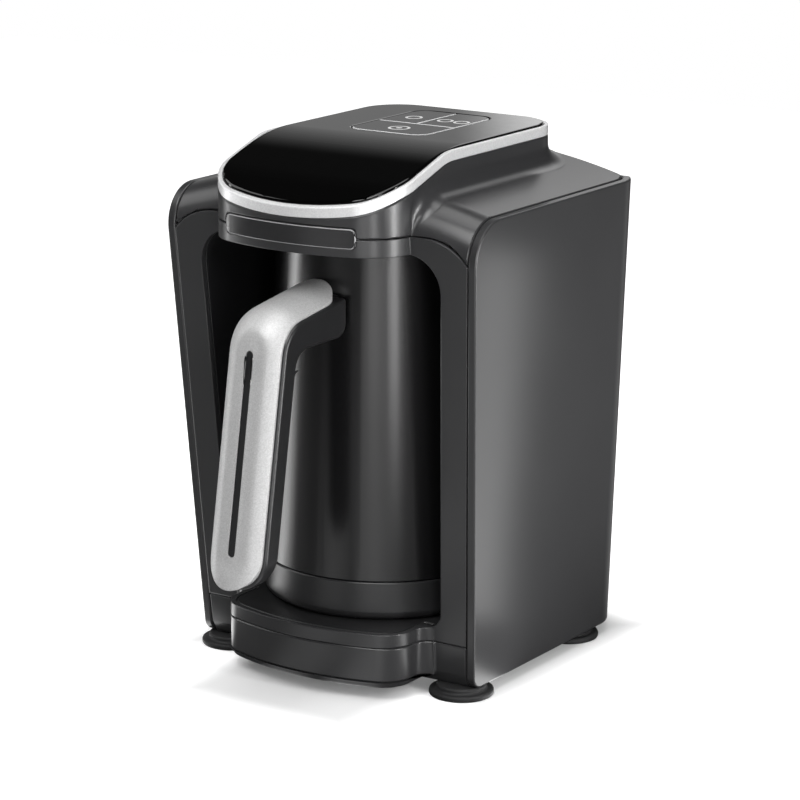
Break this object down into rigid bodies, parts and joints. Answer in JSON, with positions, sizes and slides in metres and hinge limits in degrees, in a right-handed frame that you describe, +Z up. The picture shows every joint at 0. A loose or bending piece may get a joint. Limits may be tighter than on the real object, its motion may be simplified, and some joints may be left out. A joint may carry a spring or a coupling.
{
  "type": "electric Turkish coffee maker",
  "caption": "Countertop electric coffee maker with a lift-out long-handled pot in a front bay, a raised head with a silver band and press keys on top.",
  "frame": {"origin": "centre of the whole part's footprint on the table plane", "axes": "+X to the machine's right as seen from the front, +Y to the rear, +Z up; the pot's handle points to -Y"},
  "size_m": [0.1622, 0.2077, 0.2364],
  "materials": {
    "housing_grey": "satin anthracite, fine grain",
    "bay_black": "matte",
    "silver_trim": "satin silver lacquer",
    "gloss_black": "mirror gloss",
    "plate_grey": "satin",
    "inner_plastic": "moulded",
    "circuit_board": "solder mask",
    "copper": "taped winding",
    "brass": "plain",
    "rubber": "matte",
    "steel": "zinc plated",
    "key_grey": "satin",
    "pot_black": "satin black coating",
    "polished_steel": "brushed inside",
    "heater_alloy": "cast",
    "ceramic": "glazed",
    "handle_black": "satin",
    "silver_grip": "satin silver, fine grain"
  },
  "bodies": {
    "housing": {"side_panel_left": "housing_grey", "side_panel_right": "housing_grey", "rear_cover": "housing_grey", "top_shell": "housing_grey", "face_frame": "housing_grey", "base_tub": "housing_grey", "platform": "bay_black", "bay_liner": "bay_black", "trim_band": "silver_trim", "top_panel": "gloss_black", "front_plate": "plate_grey", "key_carrier": "inner_plastic", "control_board": "circuit_board", "tact_switches": "inner_plastic", "boil_sensor": "inner_plastic", "power_board": "circuit_board", "transformer": "copper", "relay": "inner_plastic", "capacitors": "inner_plastic", "speaker": "inner_plastic", "connector_housing": "inner_plastic", "connector_pins": "brass", "cord_gland": "rubber", "feet": "rubber", "housing_screws": "steel", "board_screws": "steel"},
    "key_left": {"key_left": "key_grey"},
    "key_right": {"key_right": "key_grey"},
    "key_front": {"key_front": "key_grey"},
    "pot": {"pot_jacket": "pot_black", "pot_vessel": "polished_steel", "pot_base_ring": "pot_black", "heater_plate": "heater_alloy", "thermostat": "ceramic", "pot_inlet": "inner_plastic", "handle_core": "handle_black", "grip_cover": "silver_grip", "grip_insert": "handle_black", "handle_screws": "steel"}
  },
  "joints": [
    {"name": "pot_slide", "type": "slide", "parent": "housing", "child": "pot", "axis": [0, -1, 0], "range_m": [0, 0.15]},
    {"name": "press_left", "type": "slide", "parent": "housing", "child": "key_left", "axis": [0, 0, -1], "range_m": [0, 0.001], "stiffness_N_per_m": 900, "springref_m": -0.0004},
    {"name": "press_right", "type": "slide", "parent": "housing", "child": "key_right", "axis": [0, 0, -1], "range_m": [0, 0.001], "stiffness_N_per_m": 900, "springref_m": -0.0004},
    {"name": "press_front", "type": "slide", "parent": "housing", "child": "key_front", "axis": [0, 0, -1], "range_m": [0, 0.001], "stiffness_N_per_m": 900, "springref_m": -0.0004}
  ]
}
